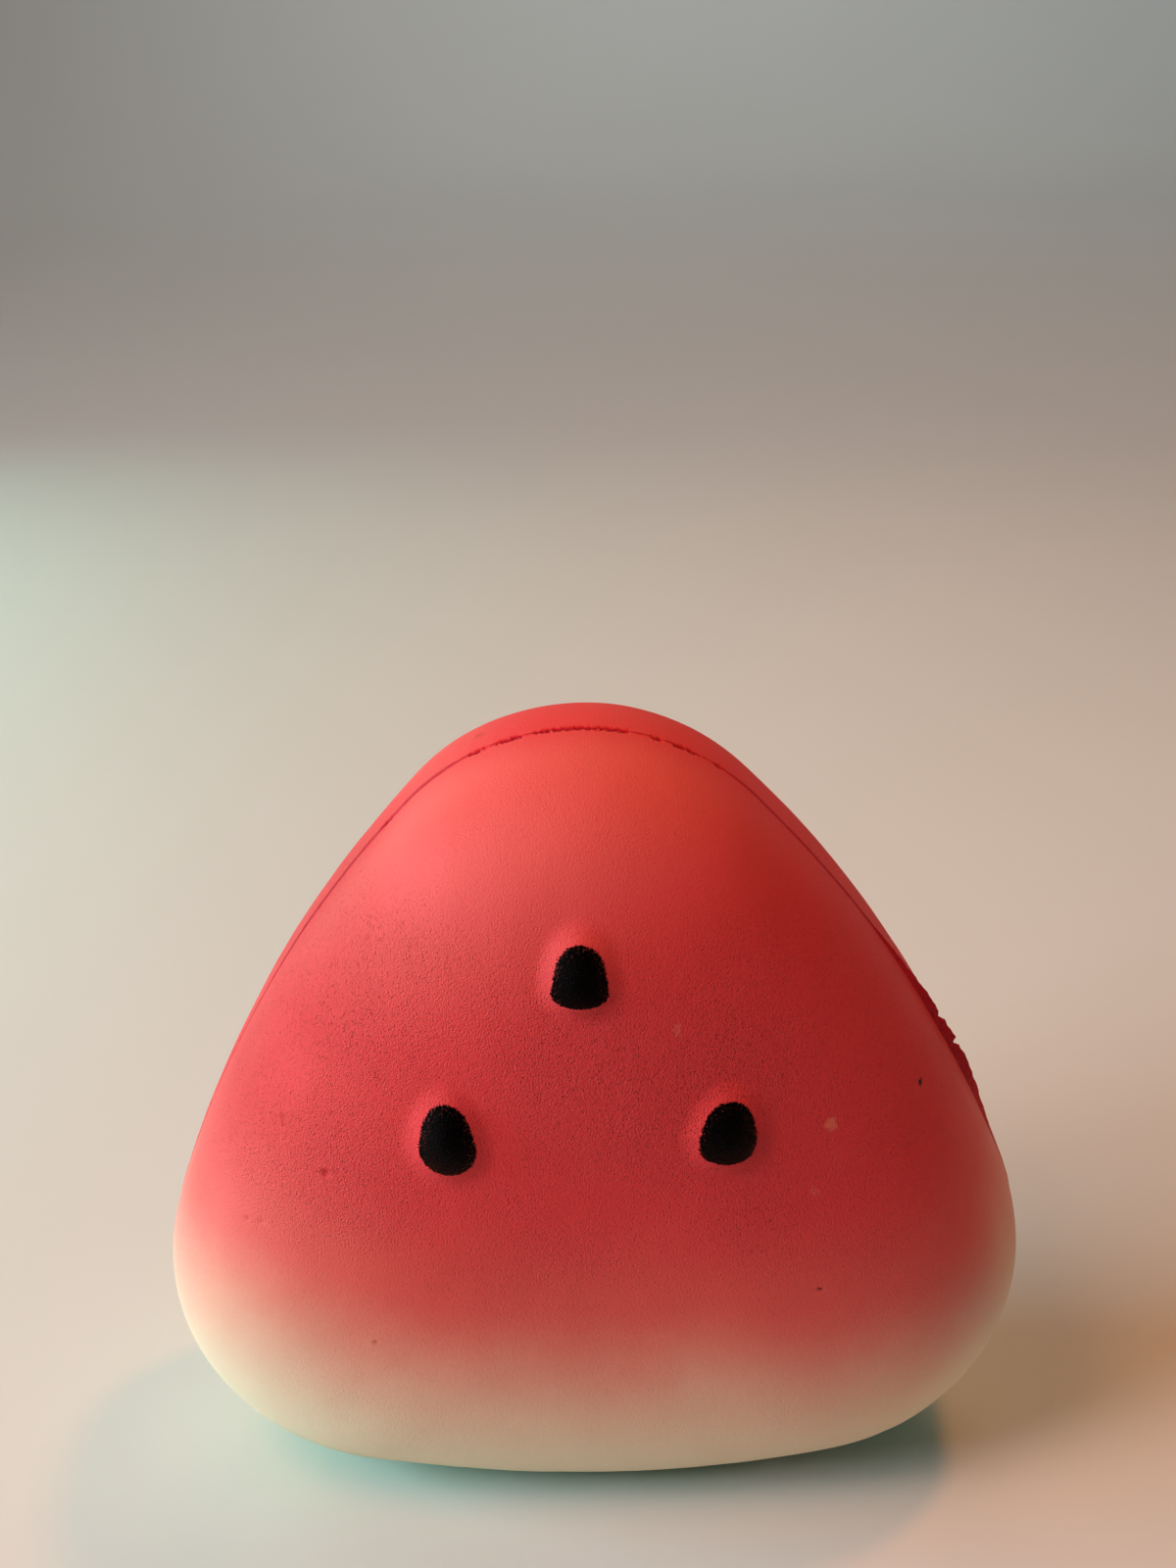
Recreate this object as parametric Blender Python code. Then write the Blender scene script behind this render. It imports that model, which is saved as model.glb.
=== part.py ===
# Soft foam squeeze toy in the shape of a watermelon wedge, standing on its rind edge.
# Metres, +Z up. X runs across the rind, Y from the front face to the back face.
# The origin is the middle of the flat spot that the toy stands on.

import math

import bmesh
import bpy
from mathutils import Matrix

# Outline, seen from the front
WIDTH = 0.1000             # widest, across the two rind corners
OUTLINE_HEIGHT = 0.0933    # rind to tip, before the foot is pressed flat
TIP_RADIUS = 0.0263
CORNER_RADIUS = 0.0252
SIDE_RADIUS = 0.1401       # the two long sides bow out a little
RIND_RADIUS = 0.1461       # the long curve that the wedge stands on
MIDDLE_HEIGHT = 0.0401     # the outline is swept inwards towards this height

# Section, front to back
THICKNESS = 0.0498
EDGE_POWER = 2.93          # 2 would be an ellipse, and a higher power has flatter faces

# Foot
FOOT_SINK = 0.0006         # how far the rind's curve is pressed flat where it stands

# Parting line and the torn flash left on one side of it
RIDGE_HALF_WIDTH = 0.00040
RIDGE_RISE = 0.00018
FLASH_REACH = 0.00130
FLASH_START = math.radians(47)    # angles are round the middle, from the tip towards +X
FLASH_PEAK = math.radians(75)
FLASH_END = math.radians(93)
# Each bite torn out of the flash: its middle and half its width in degrees, and the share it takes away
FLASH_BITES = ((57.5, 1.1, 0.45), (66.0, 0.9, 0.30), (73.4, 0.8, 0.50), (82.0, 1.2, 0.35))

# Raised seeds: the middle of each, across and up, before the foot is pressed flat
SEED_MIDDLES = {
    "tip_seed": (0.0000, 0.0744),
    "left_seed": (-0.0147, 0.0557),
    "right_seed": (0.0151, 0.0558),
}
INK_WIDTH = 0.0063
INK_LENGTH = 0.0080
SEED_TAPER = 0.24          # how much narrower the upper end is than the middle
SKIRT = 0.0019             # foam that slopes down all round the ink
SLOPE_SHARE = 0.86         # share of a seed that slopes, the rest being its rounded top
SEED_RISE = 0.0018

# Facets
SEGMENTS = 80
RINGS = 32
SEED_CUTS = 3
SEED_MARGIN = 1.15         # finer facets reach this far past a seed
FLASH_CUTS = 3
SHARP_ANGLE = math.radians(38)    # the crest and foot of the flash stay crisp

# Colours
FLESH_RED = (0.69, 0.075, 0.080, 1.0)
RIND_CREAM = (0.80, 0.71, 0.52, 1.0)
RIND_GREEN = (0.20, 0.46, 0.12, 1.0)
SEED_BLACK = (0.008, 0.007, 0.007, 1.0)
FADE_TOP = 0.036
FADE_BOTTOM = 0.012
GREEN_TOP = 0.004


def arc_reach(direction, centre, radius):
    """Distance from the middle, along a direction, to an arc that the middle lies inside."""
    across = -centre[0]
    up = MIDDLE_HEIGHT - centre[1]
    along = direction[0] * across + direction[1] * up
    outside = across * across + up * up - radius * radius
    return -along + math.sqrt(along * along - outside)


def tangent_angle(centre, towards, radius):
    """Angle, from the middle, of the point where two tangent arcs meet."""
    length = math.hypot(centre[0] - towards[0], centre[1] - towards[1])
    across = centre[0] + (centre[0] - towards[0]) / length * radius
    up = centre[1] + (centre[1] - towards[1]) / length * radius - MIDDLE_HEIGHT
    return math.atan2(across, up)


def outline_arcs():
    """The tip, side, corner and rind arcs of the right half: (end angle, centre, radius)."""
    tip = (0.0, OUTLINE_HEIGHT - TIP_RADIUS)
    rind = (0.0, RIND_RADIUS)
    corner_across = WIDTH / 2 - CORNER_RADIUS
    corner_up = RIND_RADIUS - math.sqrt((RIND_RADIUS - CORNER_RADIUS) ** 2 - corner_across ** 2)
    corner = (corner_across, corner_up)

    # The side arc touches the tip and corner circles from outside, so its centre is where two circles cross
    from_tip = SIDE_RADIUS - TIP_RADIUS
    from_corner = SIDE_RADIUS - CORNER_RADIUS
    across, up = corner[0] - tip[0], corner[1] - tip[1]
    gap = math.hypot(across, up)
    along = (from_tip ** 2 - from_corner ** 2 + gap ** 2) / (2 * gap)
    aside = math.sqrt(from_tip ** 2 - along ** 2)
    side = (
        tip[0] + (along * across + aside * up) / gap,
        tip[1] + (along * up - aside * across) / gap,
    )

    return (
        (tangent_angle(tip, side, TIP_RADIUS), tip, TIP_RADIUS),
        (tangent_angle(corner, side, CORNER_RADIUS), side, SIDE_RADIUS),
        (tangent_angle(corner, rind, CORNER_RADIUS), corner, CORNER_RADIUS),
        (math.pi, rind, RIND_RADIUS),
    )


ARCS = outline_arcs()


def outline_reach(angle):
    """Distance from the middle to the outline at an angle from the tip."""
    turn = abs(angle)
    direction = (math.sin(turn), math.cos(turn))
    for end, centre, radius in ARCS:
        if turn <= end:
            break
    return arc_reach(direction, centre, radius)


def smooth_step(value):
    share = min(max(value, 0.0), 1.0)
    return share * share * (3 - 2 * share)


def parting_rise(angle):
    """How far the parting line stands out: a fine ridge all round, and a torn flash on one side."""
    if not FLASH_START < angle < FLASH_END:
        return RIDGE_RISE
    if angle < FLASH_PEAK:
        swell = smooth_step((angle - FLASH_START) / (FLASH_PEAK - FLASH_START)) ** 0.7
    else:
        swell = smooth_step((FLASH_END - angle) / (FLASH_END - FLASH_PEAK))
    for middle, half_width, depth in FLASH_BITES:
        away = abs(math.degrees(angle) - middle) / half_width
        swell *= 1 - depth * max(0.0, 1 - away)
    return RIDGE_RISE + FLASH_REACH * swell


def seed_distance(across, up, seed, skirt):
    """0 in the middle of a seed and 1 at its egg-shaped edge, which is narrower at the top."""
    half_length = INK_LENGTH / 2 + skirt
    rise = (up - SEED_MIDDLES[seed][1]) / half_length
    half_width = (INK_WIDTH / 2 + skirt) * (1 - SEED_TAPER * rise)
    return math.hypot((across - SEED_MIDDLES[seed][0]) / half_width, rise)


def seed_bump(across, up):
    """How far the face is raised by a seed: a low dome, steepest at the edge of its ink."""
    away = min(seed_distance(across, up, seed, SKIRT) for seed in SEED_MIDDLES)
    return SEED_RISE * smooth_step((1 - away) / SLOPE_SHARE)


def place_on_body(direction):
    """Moves a point of the unit sphere, whose poles face front and back, onto the wedge."""
    angle = math.atan2(direction.x, direction.z)
    tilt = math.asin(min(max(abs(direction.y), 0.0), 1.0)) / (math.pi / 2)
    first_ring = 2 / RINGS
    half_thickness = THICKNESS / 2
    ridge_turn = math.asin((RIDGE_HALF_WIDTH / half_thickness) ** (EDGE_POWER / 2))
    if tilt < first_ring:
        # Between the crest of the parting ridge and its foot
        depth = RIDGE_HALF_WIDTH * tilt / first_ring
        inward = 1.0
        crest = 1 - tilt / first_ring
    else:
        share = (tilt - first_ring) / (1 - first_ring)
        turn = ridge_turn + (math.pi / 2 - ridge_turn) * share
        depth = half_thickness * math.sin(turn) ** (2 / EDGE_POWER)
        inward = max(math.cos(turn), 0.0) ** (2 / EDGE_POWER)
        crest = 0.0
    reach = inward * outline_reach(angle) + crest * parting_rise(angle)
    across = reach * math.sin(angle)
    up = MIDDLE_HEIGHT + reach * math.cos(angle)
    depth += seed_bump(across, up)
    return (across, math.copysign(depth, direction.y), up)


def cut_edges(bm, edges, cuts):
    """Adds points along some edges and puts them back on the sphere."""
    bmesh.ops.subdivide_edges(bm, edges=edges, cuts=cuts, use_grid_fill=True)
    for vert in bm.verts:
        vert.co.normalize()


def near_seed(face):
    """True for a face of the sphere that will lie on or just round a seed."""
    across, depth, up = place_on_body(face.calc_center_median().normalized())
    if abs(depth) < THICKNESS / 4:
        return False
    return min(seed_distance(across, up, seed, SKIRT) for seed in SEED_MIDDLES) < SEED_MARGIN


def on_flash(edge):
    """True for an edge that runs along the parting line, or along the foot of its ridge, at the flash."""
    middle = (edge.verts[0].co + edge.verts[1].co) / 2
    level = abs(edge.verts[0].co.y - edge.verts[1].co.y) < 1e-4
    close = abs(math.asin(middle.y)) < 1.5 * math.pi / RINGS
    return level and close and FLASH_START < math.atan2(middle.x, middle.z) < FLASH_END


def build_foam_wedge():
    bm = bmesh.new()
    bmesh.ops.create_uvsphere(bm, u_segments=SEGMENTS, v_segments=RINGS, radius=1.0)
    bmesh.ops.rotate(bm, verts=bm.verts, matrix=Matrix.Rotation(math.pi / 2, 3, "X"))

    seed_faces = [face for face in bm.faces if near_seed(face)]
    cut_edges(bm, list({edge for face in seed_faces for edge in face.edges}), SEED_CUTS)
    cut_edges(bm, [edge for edge in bm.edges if on_flash(edge)], FLASH_CUTS)

    # What would lie under the surface that the toy stands on is pressed flat
    for vert in bm.verts:
        vert.co = place_on_body(vert.co)
        vert.co.z = max(vert.co.z - FOOT_SINK, 0.0)

    bmesh.ops.triangulate(bm, faces=bm.faces)
    bmesh.ops.recalc_face_normals(bm, faces=bm.faces)

    for face in bm.faces:
        middle = face.calc_center_median()
        on_face = abs(middle.y) > THICKNESS / 4
        up = middle.z + FOOT_SINK
        inked = min(seed_distance(middle.x, up, seed, 0.0) for seed in SEED_MIDDLES) < 1.0
        face.material_index = 1 if on_face and inked else 0
        face.smooth = True

    mesh = bpy.data.meshes.new("foam_wedge")
    bm.to_mesh(mesh)
    bm.free()
    mesh.set_sharp_from_angle(angle=SHARP_ANGLE)
    return bpy.data.objects.new("foam_wedge", mesh)


def painted_foam():
    """Sprayed foam: green under the rind, then cream, fading up into red."""
    material = bpy.data.materials.new("painted_foam")
    material.use_nodes = True
    nodes = material.node_tree.nodes
    links = material.node_tree.links
    shader = nodes["Principled BSDF"]
    shader.inputs["Roughness"].default_value = 0.62
    shader.inputs["Metallic"].default_value = 0.0

    coordinates = nodes.new("ShaderNodeTexCoord")
    split = nodes.new("ShaderNodeSeparateXYZ")
    share = nodes.new("ShaderNodeMath")
    share.operation = "DIVIDE"
    share.inputs[1].default_value = OUTLINE_HEIGHT
    ramp = nodes.new("ShaderNodeValToRGB")
    ramp.color_ramp.interpolation = "EASE"
    ramp.color_ramp.elements[0].position = GREEN_TOP / OUTLINE_HEIGHT
    ramp.color_ramp.elements[0].color = RIND_GREEN
    ramp.color_ramp.elements[1].position = FADE_TOP / OUTLINE_HEIGHT
    ramp.color_ramp.elements[1].color = FLESH_RED
    cream = ramp.color_ramp.elements.new(FADE_BOTTOM / OUTLINE_HEIGHT)
    cream.color = RIND_CREAM

    links.new(coordinates.outputs["Object"], split.inputs["Vector"])
    links.new(split.outputs["Z"], share.inputs[0])
    links.new(share.outputs["Value"], ramp.inputs["Fac"])
    links.new(ramp.outputs["Color"], shader.inputs["Base Color"])
    return material


def seed_ink():
    """Black ink printed over the raised seeds."""
    material = bpy.data.materials.new("seed_ink")
    material.use_nodes = True
    shader = material.node_tree.nodes["Principled BSDF"]
    shader.inputs["Base Color"].default_value = SEED_BLACK
    shader.inputs["Roughness"].default_value = 0.70
    shader.inputs["Metallic"].default_value = 0.0
    return material


def main():
    for old in list(bpy.data.objects):
        bpy.data.objects.remove(old, do_unlink=True)
    toy = bpy.data.collections.new("watermelon_wedge_squeeze_toy")
    bpy.context.scene.collection.children.link(toy)
    wedge = build_foam_wedge()
    wedge.data.materials.append(painted_foam())
    wedge.data.materials.append(seed_ink())
    toy.objects.link(wedge)


main()
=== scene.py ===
import math
import random

import bmesh
import bpy
from mathutils import Matrix, Vector, noise
from mathutils.kdtree import KDTree


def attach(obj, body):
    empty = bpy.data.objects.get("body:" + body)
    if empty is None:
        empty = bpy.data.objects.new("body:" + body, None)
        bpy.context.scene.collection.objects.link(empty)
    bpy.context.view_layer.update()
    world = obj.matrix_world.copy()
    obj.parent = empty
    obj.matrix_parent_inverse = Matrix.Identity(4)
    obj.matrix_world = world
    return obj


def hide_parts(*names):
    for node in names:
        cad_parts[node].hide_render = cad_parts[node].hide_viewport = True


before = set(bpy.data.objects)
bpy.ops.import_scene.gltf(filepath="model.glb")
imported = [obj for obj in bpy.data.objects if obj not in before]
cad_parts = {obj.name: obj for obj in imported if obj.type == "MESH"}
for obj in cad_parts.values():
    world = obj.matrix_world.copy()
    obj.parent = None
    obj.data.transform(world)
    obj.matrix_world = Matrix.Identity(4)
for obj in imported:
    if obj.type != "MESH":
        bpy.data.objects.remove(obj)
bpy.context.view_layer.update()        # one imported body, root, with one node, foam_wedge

mm = 0.001

# Soft foam squeeze toy shaped like a watermelon wedge. X runs across the rind, -Y is the front face, Z is up.
wedge = {
    "width": 100.0 * mm,
    "outlineHeight": 93.3 * mm,     # rind to tip, before the foot is pressed flat
    "tipRadius": 26.3 * mm,
    "cornerRadius": 25.2 * mm,
    "sideRadius": 140.1 * mm,
    "rindRadius": 146.1 * mm,
    "middleHeight": 40.1 * mm,
    "thickness": 49.8 * mm,
    "edgePower": 2.93,              # 2 is an ellipse from front to back, more is flatter
    "footSink": 0.6 * mm,
    "columns": 396,
    "rings": 140,
    "crowding": 1.6,                # rows crowd towards the parting line
    "fill": 0.9,
}

# Raised seeds, on both faces. Places are across and up, before the foot is pressed flat.
seeds = {
    "skirt": 2.3 * mm,
    "skirtPower": 2.3,
    "slopeShare": 0.97,
    "rise": 1.95 * mm,
    "cuts": 1,
    "margin": 1.15,
    "shapes": {
        "tip": dict(across=-0.1 * mm, up=75.1 * mm, halfWidth=3.08 * mm, halfLength=3.30 * mm,
                    shoulder=-0.6, taper=0.17, topPower=3.2, bottomPower=7.0, lean=2.0),
        "left": dict(across=-14.8 * mm, up=56.45 * mm, halfWidth=3.22 * mm, halfLength=4.20 * mm,
                     shoulder=-0.3, taper=0.24, topPower=3.4, bottomPower=2.8, lean=0.0),
        "right": dict(across=15.15 * mm, up=56.6 * mm, halfWidth=3.12 * mm, halfLength=3.75 * mm,
                      shoulder=-0.1, taper=0.24, topPower=3.2, bottomPower=4.2, lean=5.0),
    },
}

# Line where the two halves of the mould met. Angles are degrees round the middle, from the tip towards +X.
# A course is noise along the line: its steps per degree, and where it starts.
parting = {
    "reach": 8.0 * mm,              # no detail of the line lies farther from it than this
    "ridgeRise": 0.08 * mm,
    "ridgeHalf": 0.20 * mm,
    "ridgeShare": (0.75, 0.5),      # least height and how much it varies
    "ridgeCourse": (0.8, 0.0, 4.0),
    "halfStep": 0.08 * mm,          # the back half stands this much prouder
    "stepHalf": 0.5 * mm,
    "stepFade": (6.0 * mm, 1.0 * mm),
    "inkHalf": 0.23 * mm,           # half width of the crimson line
    "inkShare": (0.8, 0.5),         # least width and how much it varies
    "inkCourse": (0.9, 5.0, 1.0),
    "inkLeft": 0.36 * mm,           # added on the left shoulder
    "leftZone": (-66.0, -44.0, -13.0, -18.0),
    "stepShadeRight": 0.26 * mm,          # added on the right: painted shade under the proud back half, as a wider crimson line
    "rightZone": (15.0, 22.0),
    "inkSoftness": (1.3, 0.6),
    "inkMost": 0.7,                 # the mark is stronger than this only where the line is torn
    "wander": 0.12 * mm,
    "wanderCourse": (0.11, 0.0, 2.0),
    "tears": (
        (-28.2, -25.6), (-13.6, -10.7), (-10.1, -6.4), (-5.3, 6.2), (8.6, 10.2), (10.8, 15.2), (17.0, 18.2),
    ),
    "tearEnds": 0.5,                # degrees over which a tear starts and ends
    "tearDepth": 0.30 * mm,
    "tearHalf": 0.62 * mm,
    "tearCore": 0.3,                # share of the half width that is torn throughout
    "tearGain": 1.6,
    "tearWander": 0.10 * mm,
    "tearCourse": (0.9, 2.0, 3.0),
    "crumbs": ((2.1, 2.6, 5.0, 1.0), (5.3, 5.5, 9.0, 0.6)),     # steps per degree and mm, start, weight
    "crumbEdge": (-0.18, 0.12),
    "crumbPull": (0.55, 0.6),       # how strongly crumbs keep to the middle of the line, and from where
    "crossCuts": 5,
    "besideCuts": 2,
    "fineZone": (-40.0, 96.0),
    "fineCuts": 3,
    "plainCuts": 1,
}

# Thin flash left on the right side, torn into a ragged edge
flash = {
    "start": 47.0,
    "peak": 75.0,
    "end": 93.0,
    "growPower": 0.7,
    "reach": 1.15 * mm,
    "half": 0.17 * mm,
    "thinning": 0.45,
    "raggedness": 0.12,
    "raggedCourse": (0.9, 3.1, 0.0),
    "fineShare": 0.10,
    "fineCourse": (4.3, 7.7, 0.0),
    "inkShare": 0.70,               # the line is fainter on the flash itself
    "inkFade": 0.4 * mm,
    "bites": ((58.5, 1.6, 0.15), (68.4, 0.9, 0.40), (73.6, 0.7, 0.50), (84.0, 1.5, 0.12)),
}


def smoothStep(low, high, value):
    share = min(max((value - low) / (high - low), 0.0), 1.0)
    return share * share * (3 - 2 * share)


def arcReach(direction, centre, radius):
    across = -centre[0]
    up = wedge["middleHeight"] - centre[1]
    along = direction[0] * across + direction[1] * up
    outside = across * across + up * up - radius * radius
    return -along + math.sqrt(along * along - outside)


def tangentAngle(centre, towards, radius):
    length = math.hypot(centre[0] - towards[0], centre[1] - towards[1])
    across = centre[0] + (centre[0] - towards[0]) / length * radius
    up = centre[1] + (centre[1] - towards[1]) / length * radius - wedge["middleHeight"]
    return math.atan2(across, up)


def outlineArcs():
    tipRadius, cornerRadius = wedge["tipRadius"], wedge["cornerRadius"]
    sideRadius, rindRadius = wedge["sideRadius"], wedge["rindRadius"]
    tip = (0.0, wedge["outlineHeight"] - tipRadius)
    rind = (0.0, rindRadius)
    cornerAcross = wedge["width"] / 2 - cornerRadius
    corner = (cornerAcross, rindRadius - math.sqrt((rindRadius - cornerRadius) ** 2 - cornerAcross ** 2))

    # the side arc's centre is where two circles round the tip's and the corner's centres cross
    fromTip = sideRadius - tipRadius
    fromCorner = sideRadius - cornerRadius
    across, up = corner[0] - tip[0], corner[1] - tip[1]
    gap = math.hypot(across, up)
    along = (fromTip ** 2 - fromCorner ** 2 + gap ** 2) / (2 * gap)
    aside = math.sqrt(fromTip ** 2 - along ** 2)
    side = (tip[0] + (along * across + aside * up) / gap, tip[1] + (along * up - aside * across) / gap)
    return (
        (tangentAngle(tip, side, tipRadius), tip, tipRadius),
        (tangentAngle(corner, side, cornerRadius), side, sideRadius),
        (tangentAngle(corner, rind, cornerRadius), corner, cornerRadius),
        (math.pi, rind, rindRadius),
    )


arcs = outlineArcs()


def outlineReach(angle):
    turn = abs(angle)
    direction = (math.sin(turn), math.cos(turn))
    for end, centre, radius in arcs:
        if turn <= end:
            break
    return arcReach(direction, centre, radius)


def seedAway(across, up, shape, skirt):
    # 0 in the middle of a seed and 1 at its edge, which narrows above the shoulder and is blunt below
    lean = math.radians(shape["lean"])
    sideways = across - shape["across"]
    upwards = up - shape["up"]
    turned = sideways * math.cos(lean) - upwards * math.sin(lean)
    rise = (sideways * math.sin(lean) + upwards * math.cos(lean)) / (shape["halfLength"] + skirt)
    halfWidth = (shape["halfWidth"] + skirt) * (1 - shape["taper"] * max(0.0, rise - shape["shoulder"]))
    power = shape["bottomPower"] if rise < 0 else shape["topPower"]
    if skirt:
        power = min(power, seeds["skirtPower"])
    return math.sqrt((turned / halfWidth) ** 2 + abs(rise) ** power)


def nearestSeed(across, up, skirt):
    return min(seedAway(across, up, shape, skirt) for shape in seeds["shapes"].values())


def waver(degrees, course):
    perDegree, second, third = course
    return noise.noise(Vector((degrees * perDegree, second, third)))


def flashReach(degrees):
    if not flash["start"] < degrees < flash["end"]:
        return 0.0
    if degrees < flash["peak"]:
        swell = smoothStep(flash["start"], flash["peak"], degrees) ** flash["growPower"]
    else:
        swell = smoothStep(flash["end"], flash["peak"], degrees)
    for middle, halfWidth, depth in flash["bites"]:
        swell *= 1 - depth * max(0.0, 1 - abs(degrees - middle) / halfWidth)
    ragged = waver(degrees, flash["raggedCourse"]) + flash["fineShare"] * waver(degrees, flash["fineCourse"])
    return flash["reach"] * swell * (1 + flash["raggedness"] * ragged)


def tearing(degrees, depth):
    # 0 where the parting line is whole and 1 where a crumb of foam is torn out of it
    ends, half = parting["tearEnds"], parting["tearHalf"]
    zone = max(smoothStep(start, start + ends, degrees) * smoothStep(end, end - ends, degrees)
               for start, end in parting["tears"])
    if zone == 0:
        return 0.0
    crumbs = sum(
        weight * noise.noise(Vector((degrees * perDegree, depth / mm * perMm, start)))
        for perDegree, perMm, start, weight in parting["crumbs"]
    )
    middle = parting["tearWander"] * waver(degrees, parting["tearCourse"])
    band = smoothStep(half, half * parting["tearCore"], abs(depth - middle))
    pull, pullFrom = parting["crumbPull"]
    torn = smoothStep(*parting["crumbEdge"], crumbs + pull * (band - pullFrom))
    return zone * torn * min(1.0, band * parting["tearGain"])


def partingShape(angle, depth):
    # how far the surface stands out beside the parting line, and how strongly the line is marked
    degrees = math.degrees(angle)
    line = depth - parting["wander"] * waver(degrees, parting["wanderCourse"])
    crest = math.exp(-(line / parting["ridgeHalf"]) ** 2)
    least, spread = parting["ridgeShare"]
    rise = parting["ridgeRise"] * crest * (least + spread * waver(degrees, parting["ridgeCourse"]))
    stepped = smoothStep(-parting["stepHalf"], parting["stepHalf"], line) - 0.5
    rise += parting["halfStep"] * stepped * smoothStep(*parting["stepFade"], abs(line))
    torn = tearing(degrees, line)
    rise -= parting["tearDepth"] * torn
    fin = flashReach(degrees)
    if fin > 0:
        rise += fin * max(0.0, 1 - abs(line) / flash["half"]) ** flash["thinning"]

    least, spread = parting["inkShare"]
    half = parting["inkHalf"] * (least + spread * waver(degrees, parting["inkCourse"]))
    left = parting["leftZone"]
    half += parting["inkLeft"] * smoothStep(left[0], left[1], degrees) * smoothStep(left[2], left[3], degrees)
    # on the right the line widens into painted shade under the proud back half
    half += parting["stepShadeRight"] * smoothStep(*parting["rightZone"], degrees)
    outer, inner = parting["inkSoftness"]
    mark = smoothStep(half * outer, half * inner, abs(line))
    faint = parting["inkMost"] * (1 - flash["inkShare"]) * smoothStep(0, flash["inkFade"], fin)
    return rise, max(mark * (parting["inkMost"] - faint), torn)


ringStep = math.pi / wedge["rings"]


def placeOnBody(direction, detail=True):
    # moves a point of the unit sphere, whose poles face front and back, onto the wedge
    angle = math.atan2(direction.x, direction.z)
    tilt = math.asin(min(abs(direction.y), 1.0))
    if tilt < ringStep:
        tilt = ringStep * (tilt / ringStep) ** wedge["crowding"]
    power = wedge["edgePower"]
    outwards = outlineReach(angle)
    flat = (math.cos(tilt) / outwards) ** power + (math.sin(tilt) / (wedge["thickness"] / 2)) ** power
    length = flat ** (-1 / power)
    reach = length * math.cos(tilt)
    depth = length * math.sin(tilt)
    mark = 0.0
    if detail and depth < parting["reach"]:
        rise, mark = partingShape(angle, math.copysign(depth, direction.y))
        reach += rise
    across = reach * math.sin(angle)
    up = wedge["middleHeight"] + reach * math.cos(angle)
    away = nearestSeed(across, up, seeds["skirt"])
    depth += seeds["rise"] * smoothStep(0, seeds["slopeShare"], 1 - away)
    return Vector((across, math.copysign(depth, direction.y), up)), mark


# Marks that moulding and handling left: place, radius and depth in mm (a negative depth stands proud)
pocks = {
    "cuts": 2,
    "margin": 1.6,
    "border": 0.3 * mm,
    "farthest": 2.0 * mm,
    "floorShare": 0.25,             # share of the radius that is flat
    "shadeShare": 0.3,
    "rimHeight": 0.25,              # low rim round each pock, as a share of its depth
    "rimAt": 1.15,
    "rimWidth": 0.22,
    "seen": (
        ((-33.2, -17.7, 55.6), 0.60, 0.20), ((-33.0, -17.9, 54.9), 0.45, 0.16),
        ((-28.4, -21.4, 50.7), 0.65, 0.24), ((-38.1, -18.4, 42.9), 0.40, 0.16),
        ((-36.5, -19.4, 43.2), 0.38, 0.15), ((-21.9, -21.2, 62.4), 0.35, 0.14),
        ((-22.8, -14.5, 75.8), 0.45, 0.16), ((-23.3, -14.8, 75.2), 0.30, 0.12),
        ((-2.1, -24.1, 62.9), 0.26, 0.08), ((-7.4, -23.6, 65.4), 0.24, 0.07),
        ((2.0, -23.9, 65.1), 0.22, 0.06), ((-24.2, -23.7, 29.7), 0.40, 0.10),
        ((19.6, -24.0, 45.0), 0.28, 0.08), ((20.1, -24.0, 44.0), 0.26, 0.08),
        ((25.0, -23.7, 35.7), 0.30, 0.14), ((20.0, -16.5, 76.6), 0.30, 0.10),
        ((-28.0, -19.9, 57.7), 0.35, -0.10), ((-8.7, -24.7, 48.8), 0.30, -0.08),
    ),
    "scattered": 26,                # on the back
    "scatterSeed": 11,
    "radii": (0.28, 0.6),
    "depths": (0.08, 0.2),
    "behind": 3.0 * mm,
    "above": 8.0 * mm,
    "fromSeed": 1.2,
}


def scatterPocks():
    rng = random.Random(pocks["scatterSeed"])
    found = []
    while len(found) < pocks["scattered"]:
        direction = Vector((rng.gauss(0, 1), rng.gauss(0, 1), rng.gauss(0, 1))).normalized()
        radius, depth = rng.uniform(*pocks["radii"]), rng.uniform(*pocks["depths"])
        place = placeOnBody(direction, detail=False)[0]
        onBack = place.y > pocks["behind"] and place.z > pocks["above"]
        if onBack and nearestSeed(place.x, place.z, seeds["skirt"]) > pocks["fromSeed"]:
            found.append((place, radius * mm, depth * mm))
    return found


def allPocks():
    seen = [(Vector(place) * mm, radius * mm, depth * mm) for place, radius, depth in pocks["seen"]]
    return seen + scatterPocks()


pockList = allPocks()
pockTree = KDTree(len(pockList))
for number, (middle, radius, depth) in enumerate(pockList):
    pockTree.insert(middle, number)
pockTree.balance()


def cutEdges(bm, edges, cuts):
    bmesh.ops.subdivide_edges(bm, edges=edges, cuts=cuts, use_grid_fill=True)
    for vert in bm.verts:
        vert.co.normalize()


ringSlack = 0.02
levelSlack = 1e-5


def crossingEdges(bm, lowRing, highRing):
    # edges that run from front to back between two rings counted from the parting line
    found = []
    for edge in bm.edges:
        tilts = sorted(abs(math.asin(max(-1.0, min(1.0, vert.co.y)))) / ringStep for vert in edge.verts)
        if abs(tilts[0] - lowRing) < ringSlack and abs(tilts[1] - highRing) < ringSlack:
            found.append(edge)
    return found


def edgesAlong(bm, zone, rings, inside=True):
    # edges that run along the parting line, inside or outside a zone of angles
    found = []
    for edge in bm.edges:
        start, end = edge.verts[0].co, edge.verts[1].co
        if abs(start.y - end.y) > levelSlack or abs(math.asin(start.y)) > (rings + ringSlack) * ringStep:
            continue
        middle = (start + end) / 2
        degrees = math.degrees(math.atan2(middle.x, middle.z))
        if (zone[0] < degrees < zone[1]) == inside:
            found.append(edge)
    return found


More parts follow.
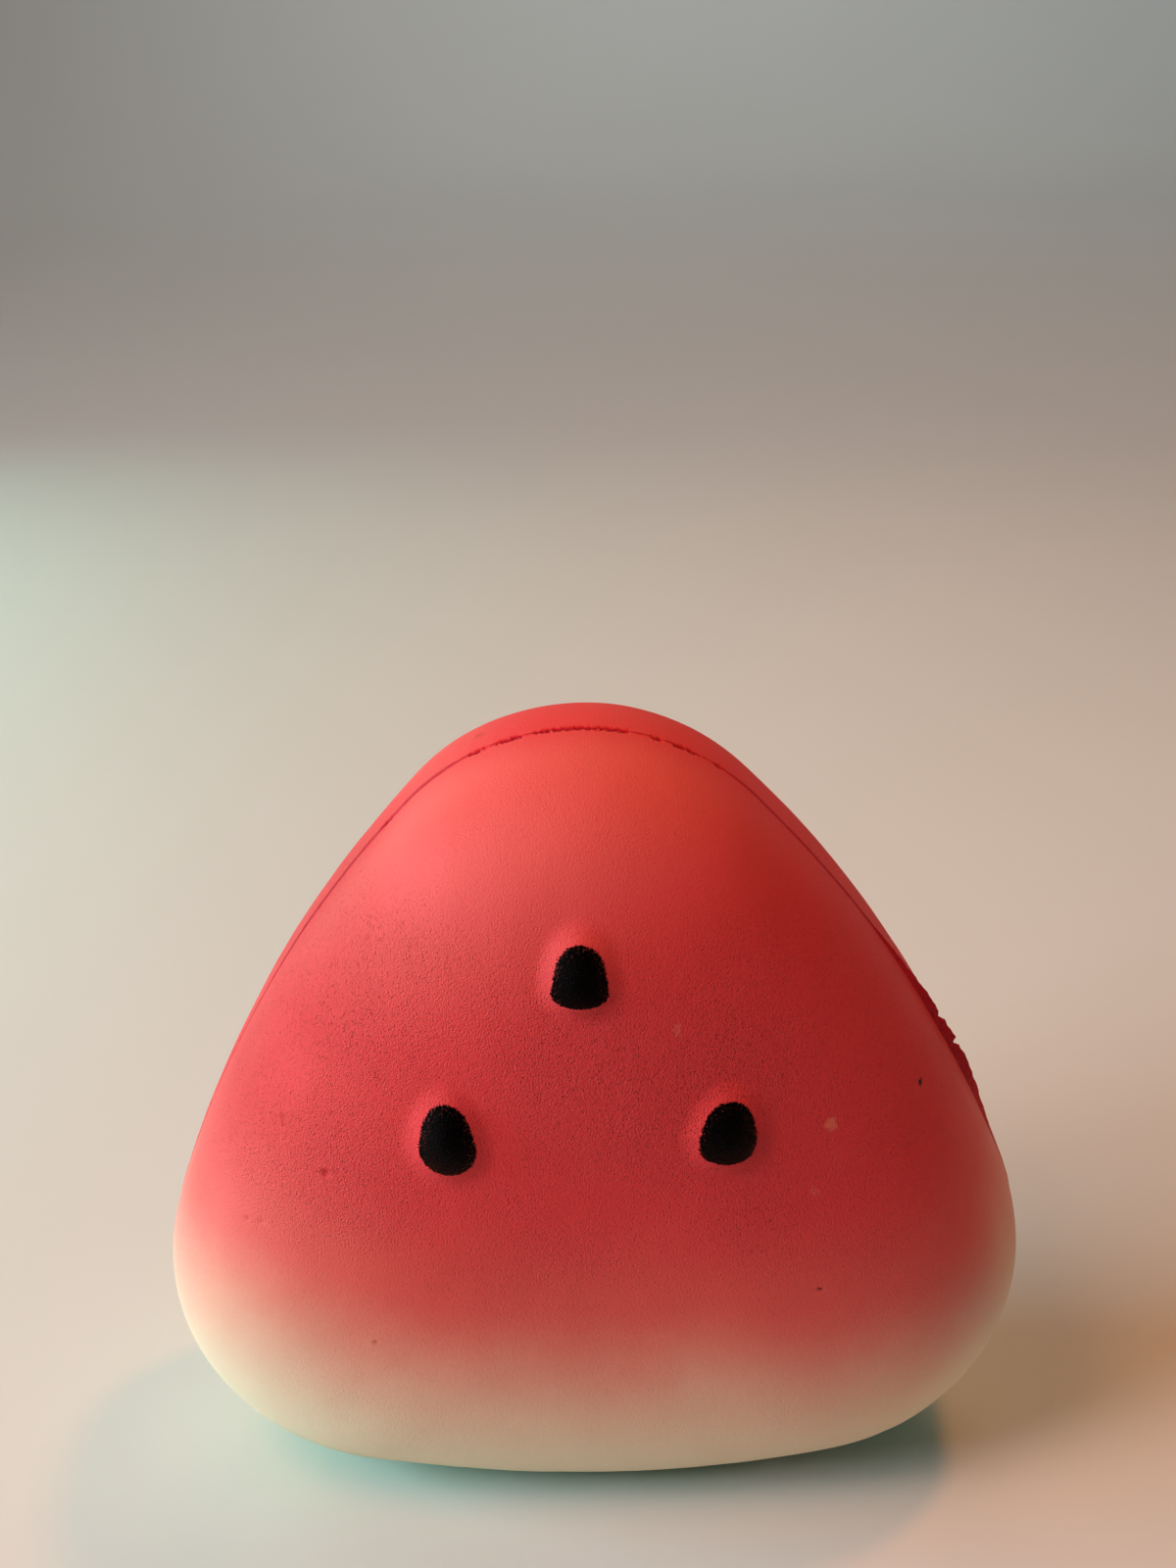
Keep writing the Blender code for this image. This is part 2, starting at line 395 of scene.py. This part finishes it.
def edgesNear(bm, tests):
    # for each test, the edges of the faces whose place on the toy passes it
    found = [set() for test in tests]
    for face in bm.faces:
        place = placeOnBody(face.calc_center_median().normalized(), detail=False)[0]
        for edges, test in zip(found, tests):
            if test(place):
                edges.update(face.edges)
                break
    return [list(edges) for edges in found]


def onFace(place):
    return abs(place.y) > wedge["thickness"] / 4


def onSeed(place):
    return onFace(place) and nearestSeed(place.x, place.z, seeds["skirt"]) < seeds["margin"]


def onPock(place):
    middle, number, gap = pockTree.find(place)
    return gap < pockList[number][1] * pocks["margin"] + pocks["border"]


# Low swells of the moulded skin: size and height of each
swells = ((16 * mm, 0.16 * mm), (6 * mm, 0.05 * mm), (2.4 * mm, 0.018 * mm))
swellStart = Vector((7.3, 1.9, 4.1))

# How high the red spray reaches: it fades along the rind, and stays higher where the sides turn away
spray = {
    "turnStart": 21.5 * mm,
    "turnEnd": 11.0 * mm,
    "sideFrom": 20.0 * mm,
    "sideTo": 44.0 * mm,
    "leftLift": -1.5 * mm,
    "rightLift": 7.5 * mm,
    "tilt": 0.03,
    "sag": 4.6 * mm,                # the red comes lower on the right of the face
    "sagFrom": 8.0 * mm,
    "sagTo": 40.0 * mm,
}


def sprayHeight(place):
    fromRind = wedge["rindRadius"] - math.hypot(place.x, place.z - wedge["rindRadius"])
    lift = spray["leftLift"] if place.x < 0 else spray["rightLift"]
    lift *= smoothStep(spray["turnStart"], spray["turnEnd"], abs(place.y))
    lift *= smoothStep(spray["sideFrom"], spray["sideTo"], abs(place.x))
    sag = spray["sag"] * smoothStep(spray["sagFrom"], spray["sagTo"], place.x)
    return fromRind - lift + spray["tilt"] * place.x + sag


def buildFoam():
    bm = bmesh.new()
    bmesh.ops.create_uvsphere(bm, u_segments=wedge["columns"], v_segments=wedge["rings"], radius=1.0)
    bmesh.ops.rotate(bm, verts=bm.verts, matrix=Matrix.Rotation(math.pi / 2, 3, "X"))

    onSeeds, onPocks = edgesNear(bm, (onSeed, onPock))
    cutEdges(bm, onSeeds, seeds["cuts"])
    cutEdges(bm, onPocks, pocks["cuts"])
    cutEdges(bm, crossingEdges(bm, 0, 1), parting["crossCuts"])
    cutEdges(bm, crossingEdges(bm, 1, 2), parting["besideCuts"])
    cutEdges(bm, edgesAlong(bm, parting["fineZone"], 2), parting["fineCuts"])
    cutEdges(bm, edgesAlong(bm, parting["fineZone"], 2, inside=False), parting["plainCuts"])

    inkEdge = bm.verts.layers.float.new("inkEdge")
    sprayLevel = bm.verts.layers.float.new("sprayLevel")
    seamMark = bm.verts.layers.float.new("seamMark")
    pitShade = bm.verts.layers.float.new("pitShade")

    for vert in bm.verts:
        vert.co, mark = placeOnBody(vert.co)
        vert[seamMark] = mark
    bm.normal_update()

    # skin relief, pushed along the normals, then the foot pressed flat
    moves = []
    for vert in bm.verts:
        height = sum(size * noise.noise(vert.co / step + swellStart) for step, size in swells)
        shade = 0.0
        for middle, number, gap in pockTree.find_range(vert.co, pocks["farthest"]):
            radius, depth = pockList[number][1:]
            share = gap / radius
            rim = pocks["rimHeight"] * math.exp(-((share - pocks["rimAt"]) / pocks["rimWidth"]) ** 2)
            height -= depth * (smoothStep(1, pocks["floorShare"], share) - rim)
            shade = max(shade, smoothStep(1, pocks["shadeShare"], share) * (1 if depth > 0 else 0))
        moves.append(vert.normal * height)
        vert[pitShade] = shade
        vert[sprayLevel] = sprayHeight(vert.co) / mm
        away = nearestSeed(vert.co.x, vert.co.z, 0.0)
        vert[inkEdge] = max(-1.0, 1 - away) if onFace(vert.co) else -1.0
    for vert, move in zip(bm.verts, moves):
        vert.co += move
        vert.co.z = max(vert.co.z - wedge["footSink"], 0.0)

    bmesh.ops.recalc_face_normals(bm, faces=bm.faces)
    for face in bm.faces:
        face.smooth = True
    mesh = bpy.data.meshes.new("foamBody")
    bm.to_mesh(mesh)
    bm.free()
    return bpy.data.objects.new("foamBody", mesh)


def makeNode(tree, kind, inputs=None, **settings):
    made = tree.nodes.new(kind)
    for name, value in settings.items():
        setattr(made, name, value)
    for key, value in (inputs or {}).items():
        if isinstance(value, bpy.types.NodeSocket):
            tree.links.new(value, made.inputs[key])
        else:
            made.inputs[key].default_value = value
    return made


def maths(tree, operation, first, second=0.0, third=0.0):
    made = makeNode(tree, "ShaderNodeMath", {0: first, 1: second, 2: third}, operation=operation)
    return made.outputs[0]


def vectorMaths(tree, operation, inputs, result="Vector"):
    return makeNode(tree, "ShaderNodeVectorMath", inputs, operation=operation).outputs[result]


def remap(tree, value, low, high, newLow=0.0, newHigh=1.0, smooth=True):
    made = makeNode(
        tree, "ShaderNodeMapRange",
        {"Value": value, "From Min": low, "From Max": high, "To Min": newLow, "To Max": newHigh},
        interpolation_type="SMOOTHSTEP" if smooth else "LINEAR",
    )
    return made.outputs["Result"]


def mixColours(tree, share, first, second, blend="MIX"):
    made = makeNode(tree, "ShaderNodeMix", data_type="RGBA", blend_type=blend)
    for key, value in (("Factor_Float", share), ("A_Color", first), ("B_Color", second)):
        socket = next(item for item in made.inputs if item.identifier == key)
        if isinstance(value, bpy.types.NodeSocket):
            tree.links.new(value, socket)
        else:
            socket.default_value = value
    return next(item for item in made.outputs if item.identifier == "Result_Color")


def noiseAt(tree, where, perMetre, detail=2.0, roughness=0.5):
    made = makeNode(
        tree, "ShaderNodeTexNoise",
        {"Vector": where, "Scale": perMetre, "Detail": detail, "Roughness": roughness},
    )
    return made.outputs["Fac"]


def attributeValue(tree, name):
    return makeNode(tree, "ShaderNodeAttribute", attribute_name=name).outputs["Fac"]


def relief(tree, height, strength, distance, under=None, invert=False):
    inputs = {"Height": height, "Strength": strength, "Distance": distance}
    if under is not None:
        inputs["Normal"] = under
    return makeNode(tree, "ShaderNodeBump", inputs, invert=invert).outputs["Normal"]


sprayedFoam = {
    "red": (0.73, 0.043, 0.050, 1.0),
    "paintedSheenRed": (0.77, 0.115, 0.106, 1.0),    # paler red painted on the front of the tip and on the left: painted sheen and painted light from the left lamps
    "deepRed": (0.64, 0.029, 0.038, 1.0),
    "cream": (0.83, 0.71, 0.50, 1.0),
    "green": (0.24, 0.50, 0.15, 1.0),
    "seam": (0.53, 0.0006, 0.018, 1.0),
    # crimson darkened by painted shade in the torn pits
    "tornSeamShaded": (0.33, 0.0005, 0.012, 1.0),
    "ink": (0.0016, 0.0013, 0.0013, 1.0),
    "inkGrain": (0.26, 0.045, 0.030, 1.0),
    "paleGrain": (0.95, 0.40, 0.36, 1.0),
    # painted shade for the pin holes and pock dents
    "recessShadeColour": (0.35, 0.06, 0.05, 1.0),

    # noise: steps per metre, detail, roughness
    "cloud": (70.0, 3.0, 0.55),
    "mist": (2600.0, 2.0, 0.7),
    "grain": (5200.0, 2.0, 0.6),
    "beads": (1500.0, 2.0),
    "patches": (55.0, 2.0),
    "stipple": (4200.0, 2.0, 0.7),
    "bareSpots": (5200.0, 1.0),
    "peel": (1300.0, 3.0, 0.6),
    "pores": 2900.0,

    # spray, in mm up from the rind
    "coat": (7.3, 34.8),
    "lastCoat": (21.3, 49.3),
    "coatShare": 0.85,
    "greenFade": (6.4, -0.6),
    "cloudDrift": 2.6,
    "mistDrift": 0.8,
    "greenDrift": 1.5,
    "evenness": 0.75,
    # paler red on the front of the tip and on the left side is painted sheen and painted light
    "tipLean": -0.35,
    "tipFade": (0.068, 0.092),
    "frontFade": (0.002, -0.008),
    "tipSheen": 0.8,
    "leftFade": (-0.012, -0.042),
    "leftLight": 0.30,

    # fades: from, to, and what they go between where that is not 0 and 1
    "seamFade": (0.05, 0.65),
    "beadFade": (0.25, 0.5, 0.65, 1.0),
    "tornFade": (0.6, 0.95, 0.0, 0.92),
    "patchFade": (0.35, 0.65, 0.60, 1.0),
    "lowPatches": (26.0, 50.0, 0.10, 1.0),
    "highPatches": (84.0, 70.0, 0.30, 1.0),
    "holeEdge": (0.42, 0.12),
    "holePick": (0.12, 0.50),
    "holeShade": 0.21,
    "pockShade": 0.26,
    "grainFade": (0.56, 0.74, 0.0, 0.11),
    "markShove": (1400.0, 1.1 * mm),
    "markCore": 0.45,
    "stippleFade": (0.25, 0.75, -0.08, 0.08),
    "inkFade": (-0.012, 0.03),
    "bareFade": (0.60, 0.70),
    "bareEdge": (0.45, 0.05, 0.05, 0.70),
    "roughness": (0.3, 0.7, 0.49, 0.65),
    "gloss": 0.20,

    # strength and distance
    "peelRelief": (0.13, 0.00012),
    "fineRelief": (1.0, 0.00027),
    "holeRelief": (0.8, 0.00010),
}


# Place and radius in mm, strength and colour of each small mark: marks from handling, and a painted glint on
# the cream near the foot
marks = (
    ((26.3, -21.2, 54.9), 0.95, 0.36, (0.85, 0.32, 0.18)),
    ((9.8, -22.8, 68.1), 0.65, 0.30, (0.80, 0.17, 0.15)),
    ((19.8, -16.6, 76.5), 0.20, 0.85, (0.90, 0.62, 0.58)),
    ((10.0, -23.0, 67.4), 0.55, 0.25, (0.80, 0.17, 0.15)),
    ((24.5, -22.9, 47.4), 0.70, 0.25, (0.80, 0.18, 0.16)),
    ((36.7, -13.9, 55.3), 0.60, 1.00, (0.004, 0.003, 0.010)),
    ((25.1, -23.7, 35.1), 0.30, 0.80, (0.05, 0.01, 0.01)),
    ((-24.2, -23.7, 29.1), 0.50, 0.30, (0.40, 0.10, 0.07)),
    ((-11.0, 4.5, 90.2), 0.95, 0.60, (0.50, 0.02, 0.03)),
    # painted glint: a tiny white highlight on the cream near the foot
    ((0.9, -19.4, 7.4), 0.38, 0.85, (0.95, 0.93, 0.88)),
    ((14.0, 21.5, 60.0), 0.70, 0.40, (0.85, 0.22, 0.18)),
    ((-22.0, 23.0, 34.0), 0.45, 0.50, (0.30, 0.06, 0.05)),
)


def makeSprayedFoam():
    look = sprayedFoam
    material = bpy.data.materials.new("sprayedFoam")
    material.use_nodes = True
    tree = material.node_tree
    shader = tree.nodes["Principled BSDF"]
    where = makeNode(tree, "ShaderNodeTexCoord").outputs["Object"]

    cloud = noiseAt(tree, where, *look["cloud"])
    mist = noiseAt(tree, where, *look["mist"])
    grain = noiseAt(tree, where, *look["grain"])

    # paint: green under the rind, cream, then red, with soft sprayed edges
    height = attributeValue(tree, "sprayLevel")
    drift = remap(tree, cloud, 0.0, 1.0, -look["cloudDrift"], look["cloudDrift"], smooth=False)
    level = maths(tree, "ADD", height, drift)
    drift = remap(tree, mist, 0.2, 0.8, -look["mistDrift"], look["mistDrift"], smooth=False)
    level = maths(tree, "ADD", level, drift)
    coat = remap(tree, level, *look["coat"], 0.0, look["coatShare"])
    lastCoat = remap(tree, level, *look["lastCoat"], 0.0, 1.0 - look["coatShare"])
    redShare = maths(tree, "ADD", coat, lastCoat)
    drift = remap(tree, cloud, 0.0, 1.0, -look["greenDrift"], look["greenDrift"])
    greenShare = remap(tree, maths(tree, "ADD", height, drift), *look["greenFade"])
    body = mixColours(tree, cloud, look["deepRed"], look["red"])
    body = mixColours(tree, look["evenness"], body, look["red"])

    axes = makeNode(tree, "ShaderNodeSeparateXYZ", {0: where}).outputs
    # painted sheen on the front of the tip and painted light on the left side, as a paler red
    high = maths(tree, "MULTIPLY_ADD", axes["X"], look["tipLean"], axes["Z"])
    atFront = remap(tree, axes["Y"], *look["frontFade"])
    paintedTipSheen = maths(tree, "MULTIPLY", remap(tree, high, *look["tipFade"]), atFront)
    paintedTipSheen = maths(tree, "MULTIPLY", paintedTipSheen, look["tipSheen"])
    paintedLeftLight = remap(tree, axes["X"], *look["leftFade"], 0.0, look["leftLight"])
    paintedSheen = maths(tree, "MAXIMUM", paintedTipSheen, paintedLeftLight)
    body = mixColours(tree, paintedSheen, body, look["paintedSheenRed"])
    colour = mixColours(tree, redShare, look["cream"], body)
    colour = mixColours(tree, greenShare, colour, look["green"])

    # crimson where the paint gathered along the parting line, widened on the right into painted shade under
    # the proud back half; darker in the torn pits, which is painted shade
    seam = attributeValue(tree, "seamMark")
    gathered = maths(tree, "MULTIPLY", remap(tree, seam, *look["seamFade"]), redShare)
    beads = remap(tree, noiseAt(tree, where, *look["beads"]), *look["beadFade"])
    colour = mixColours(tree, maths(tree, "MULTIPLY", gathered, beads), colour, look["seam"])
    colour = mixColours(tree, remap(tree, seam, *look["tornFade"]), colour, look["tornSeamShaded"])

    # open pores, in patches, with painted shade in the pin holes and in the pock dents
    cells = makeNode(
        tree, "ShaderNodeTexVoronoi",
        {"Vector": where, "Scale": look["pores"], "Randomness": 1.0}, feature="F1",
    ).outputs
    patches = remap(tree, noiseAt(tree, where, *look["patches"]), *look["patchFade"])
    patches = maths(tree, "MULTIPLY", patches, remap(tree, level, *look["lowPatches"]))
    patches = maths(tree, "MULTIPLY", patches, remap(tree, level, *look["highPatches"]))
    hole = remap(tree, cells["Distance"], *look["holeEdge"])
    picked = makeNode(tree, "ShaderNodeSeparateColor", {"Color": cells["Color"]}).outputs[0]
    hole = maths(tree, "MULTIPLY", hole, remap(tree, picked, *look["holePick"]))
    hole = maths(tree, "MULTIPLY", hole, patches)
    # painted shade inside the pin holes and the pock dents
    holeShade = maths(tree, "MULTIPLY", hole, look["holeShade"])
    pockShade = maths(tree, "MULTIPLY", attributeValue(tree, "pitShade"), look["pockShade"])
    recessShade = maths(tree, "MAXIMUM", holeShade, pockShade)
    colour = mixColours(tree, recessShade, colour, look["recessShadeColour"], blend="MULTIPLY")
    lightGrain = maths(tree, "MULTIPLY", remap(tree, grain, *look["grainFade"]), patches)
    colour = mixColours(tree, lightGrain, colour, look["paleGrain"])

    # small marks from handling and a painted glint, with uneven edges
    perMetre, reach = look["markShove"]
    shove = makeNode(tree, "ShaderNodeTexNoise", {"Vector": where, "Scale": perMetre, "Detail": 2.0})
    shove = vectorMaths(tree, "SUBTRACT", {0: shove.outputs["Color"], 1: (0.5, 0.5, 0.5)})
    uneven = vectorMaths(tree, "ADD", {0: where, 1: vectorMaths(tree, "SCALE", {0: shove, "Scale": reach})})
    for place, radius, strength, tint in marks:
        gap = vectorMaths(tree, "DISTANCE", {0: uneven, 1: Vector(place) * mm}, result="Value")
        share = remap(tree, gap, radius * mm, radius * look["markCore"] * mm, 0.0, strength)
        colour = mixColours(tree, share, colour, (*tint, 1.0))

    # black ink on the seeds, stippled and ragged at its edge
    inkEdge = attributeValue(tree, "inkEdge")
    stipple = remap(tree, noiseAt(tree, where, *look["stipple"]), *look["stippleFade"], smooth=False)
    inked = remap(tree, maths(tree, "ADD", inkEdge, stipple), *look["inkFade"])
    bare = remap(tree, noiseAt(tree, where, *look["bareSpots"]), *look["bareFade"])
    bare = maths(tree, "MULTIPLY", bare, remap(tree, inkEdge, *look["bareEdge"]))
    colour = mixColours(tree, inked, colour, mixColours(tree, bare, look["ink"], look["inkGrain"]))
    tree.links.new(colour, shader.inputs["Base Color"])

    # roughness and relief
    shader.inputs["Specular IOR Level"].default_value = look["gloss"]
    inkDepth = maths(tree, "MULTIPLY", inked, maths(tree, "SUBTRACT", 1.0, bare))
    tree.links.new(inkDepth, shader.inputs["Metallic"])     # keeps the soft ink from shining
    tree.links.new(remap(tree, grain, *look["roughness"], smooth=False), shader.inputs["Roughness"])
    normal = relief(tree, noiseAt(tree, where, *look["peel"]), *look["peelRelief"])
    normal = relief(tree, maths(tree, "MULTIPLY", grain, patches), *look["fineRelief"], under=normal)
    normal = relief(tree, hole, *look["holeRelief"], under=normal, invert=True)
    tree.links.new(normal, shader.inputs["Normal"])
    return material


foamBody = buildFoam()
bpy.context.scene.collection.objects.link(foamBody)
foamBody.data.materials.append(makeSprayedFoam())
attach(foamBody, "root")
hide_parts("foam_wedge")
foamBody.data.calc_loop_triangles()
print("foam body made:", len(foamBody.data.loop_triangles), "triangles")

floorSet = {
    "flatRadius": 0.80,
    "sweepRadius": 0.35,        # the sheet curves up all round
    "wallHeight": 1.2,
    "segments": 96,
    "sweepSteps": 24,
    "merge": 1e-6,
    "colour": (0.66, 0.70, 0.70, 1.0),
    "shade": (0.63, 0.67, 0.67, 1.0),
    "cloud": (9.0, 3.0),
    "roughness": 0.55,
}


def makeFloor():
    bm = bmesh.new()
    flat, sweep = floorSet["flatRadius"], floorSet["sweepRadius"]
    verts = [bm.verts.new((0.0, 0.0, 0.0)), bm.verts.new((flat, 0.0, 0.0))]
    bm.edges.new(verts)
    turn = dict(axis=(0, -1, 0), cent=(flat, 0, sweep), angle=math.pi / 2, steps=floorSet["sweepSteps"])
    last = bmesh.ops.spin(bm, geom=[verts[1]], **turn)["geom_last"]
    top = next(item for item in last if isinstance(item, bmesh.types.BMVert))
    bm.edges.new((top, bm.verts.new((top.co.x, 0.0, floorSet["wallHeight"]))))
    bmesh.ops.spin(
        bm, geom=bm.edges[:] + bm.verts[:], axis=(0, 0, 1), cent=(0, 0, 0),
        angle=math.tau, steps=floorSet["segments"], use_merge=True,
    )
    bmesh.ops.remove_doubles(bm, verts=bm.verts, dist=floorSet["merge"])
    bmesh.ops.recalc_face_normals(bm, faces=bm.faces)
    for face in bm.faces:
        face.smooth = True
    mesh = bpy.data.meshes.new("paleFloor")
    bm.to_mesh(mesh)
    bm.free()
    floor = bpy.data.objects.new("paleFloor", mesh)
    bpy.context.scene.collection.objects.link(floor)
    material = bpy.data.materials.new("palePaper")
    material.use_nodes = True
    tree = material.node_tree
    shader = tree.nodes["Principled BSDF"]
    where = makeNode(tree, "ShaderNodeTexCoord").outputs["Object"]
    colour = mixColours(tree, noiseAt(tree, where, *floorSet["cloud"]), floorSet["colour"], floorSet["shade"])
    tree.links.new(colour, shader.inputs["Base Color"])
    shader.inputs["Roughness"].default_value = floorSet["roughness"]
    mesh.materials.append(material)


makeFloor()
print("floor laid")

# Camera at the height and pitch of the photograph; turn and roll are small
cameraSet = {
    "across": -1.5 * mm,
    "back": 235.8 * mm,
    "height": 195.0 * mm,
    "pitch": 24.7,
    "turn": -0.30,
    "roll": -1.61,
    "lens": 54.09,
    "sensor": 36.0,
    "clip": (0.01, 20.0),
}


def makeCamera():
    data = bpy.data.cameras.new("camera")
    data.lens = cameraSet["lens"]
    data.sensor_width = cameraSet["sensor"]
    data.clip_start, data.clip_end = cameraSet["clip"]
    camera = bpy.data.objects.new("camera", data)
    camera.matrix_world = (
        Matrix.Translation((0, 0, -wedge["footSink"]))
        @ Matrix.Rotation(math.radians(-cameraSet["turn"]), 4, "Z")
        @ Matrix.Rotation(math.radians(-cameraSet["roll"]), 4, "Y")
        @ Matrix.Translation((cameraSet["across"], -cameraSet["back"], cameraSet["height"]))
        @ Matrix.Rotation(math.radians(90 - cameraSet["pitch"]), 4, "X")
    )
    bpy.context.scene.collection.objects.link(camera)
    bpy.context.scene.camera = camera


makeCamera()

# Soft lamps: where each stands in degrees round the toy (0 is in front, 90 is on the right) and above
# the floor, and how far away. All but the last aim at the toy's middle.
lamps = {
    "coolLow": dict(round=-90.0, above=14.0, away=0.9, size=0.40, watts=8.2, colour=(0.52, 0.88, 1.0)),
    "paleSide": dict(round=-60.0, above=32.0, away=0.9, size=0.40, watts=3.9, colour=(0.95, 0.94, 0.94)),
    "warmHigh": dict(round=-56.0, above=58.0, away=0.9, size=0.40, watts=3.2, colour=(1.0, 0.40, 0.17)),
    "warmTop": dict(round=120.0, above=65.0, away=0.9, size=0.12, watts=2.1, colour=(1.0, 0.31, 0.07)),
    "warmBack": dict(round=175.0, above=34.0, away=0.5, size=0.22, watts=0.28, colour=(1.0, 0.55, 0.28)),
    "coolBack": dict(round=-150.0, above=12.0, away=0.5, size=0.22, watts=0.42, colour=(0.50, 0.92, 0.70)),
    "farFloor": dict(
        round=180.0, above=89.0, away=0.7, size=0.40, watts=1.6, colour=(1.0, 0.98, 0.94), aim=(0, 1.0, 0),
    ),
}
lampAim = (0, 0, 40 * mm)

# A narrow beam keeps the light near the toy, where it is brighter by the gain, so the watts are divided by it
beam = {"degrees": 110.0, "gain": 2.85}


def makeLamps():
    for name, lamp in lamps.items():
        aim = Vector(lamp.get("aim", lampAim))
        data = bpy.data.lights.new(name, "AREA")
        data.shape = "DISK"
        data.size = lamp["size"]
        data.spread = math.radians(beam["degrees"])
        data.energy = lamp["watts"] / beam["gain"]
        data.color = lamp["colour"]
        turn, lift = math.radians(lamp["round"]), math.radians(lamp["above"])
        towards = Vector((math.sin(turn) * math.cos(lift), -math.cos(turn) * math.cos(lift), math.sin(lift)))
        piece = bpy.data.objects.new(name, data)
        piece.location = aim + towards * lamp["away"]
        piece.rotation_mode = "QUATERNION"
        piece.rotation_quaternion = towards.to_track_quat("Z", "Y")
        piece.visible_camera = False
        bpy.context.scene.collection.objects.link(piece)


room = {"colour": (1.0, 0.60, 0.32, 1.0), "strength": 0.05}


def makeRoomLight():
    world = bpy.data.worlds.new("softRoom")
    world.use_nodes = True
    sky = world.node_tree.nodes["Background"]
    sky.inputs["Color"].default_value = room["colour"]
    sky.inputs["Strength"].default_value = room["strength"]
    bpy.context.scene.world = world


makeLamps()
makeRoomLight()
bpy.context.scene.view_settings.view_transform = "Standard"
print("camera and lamps set")
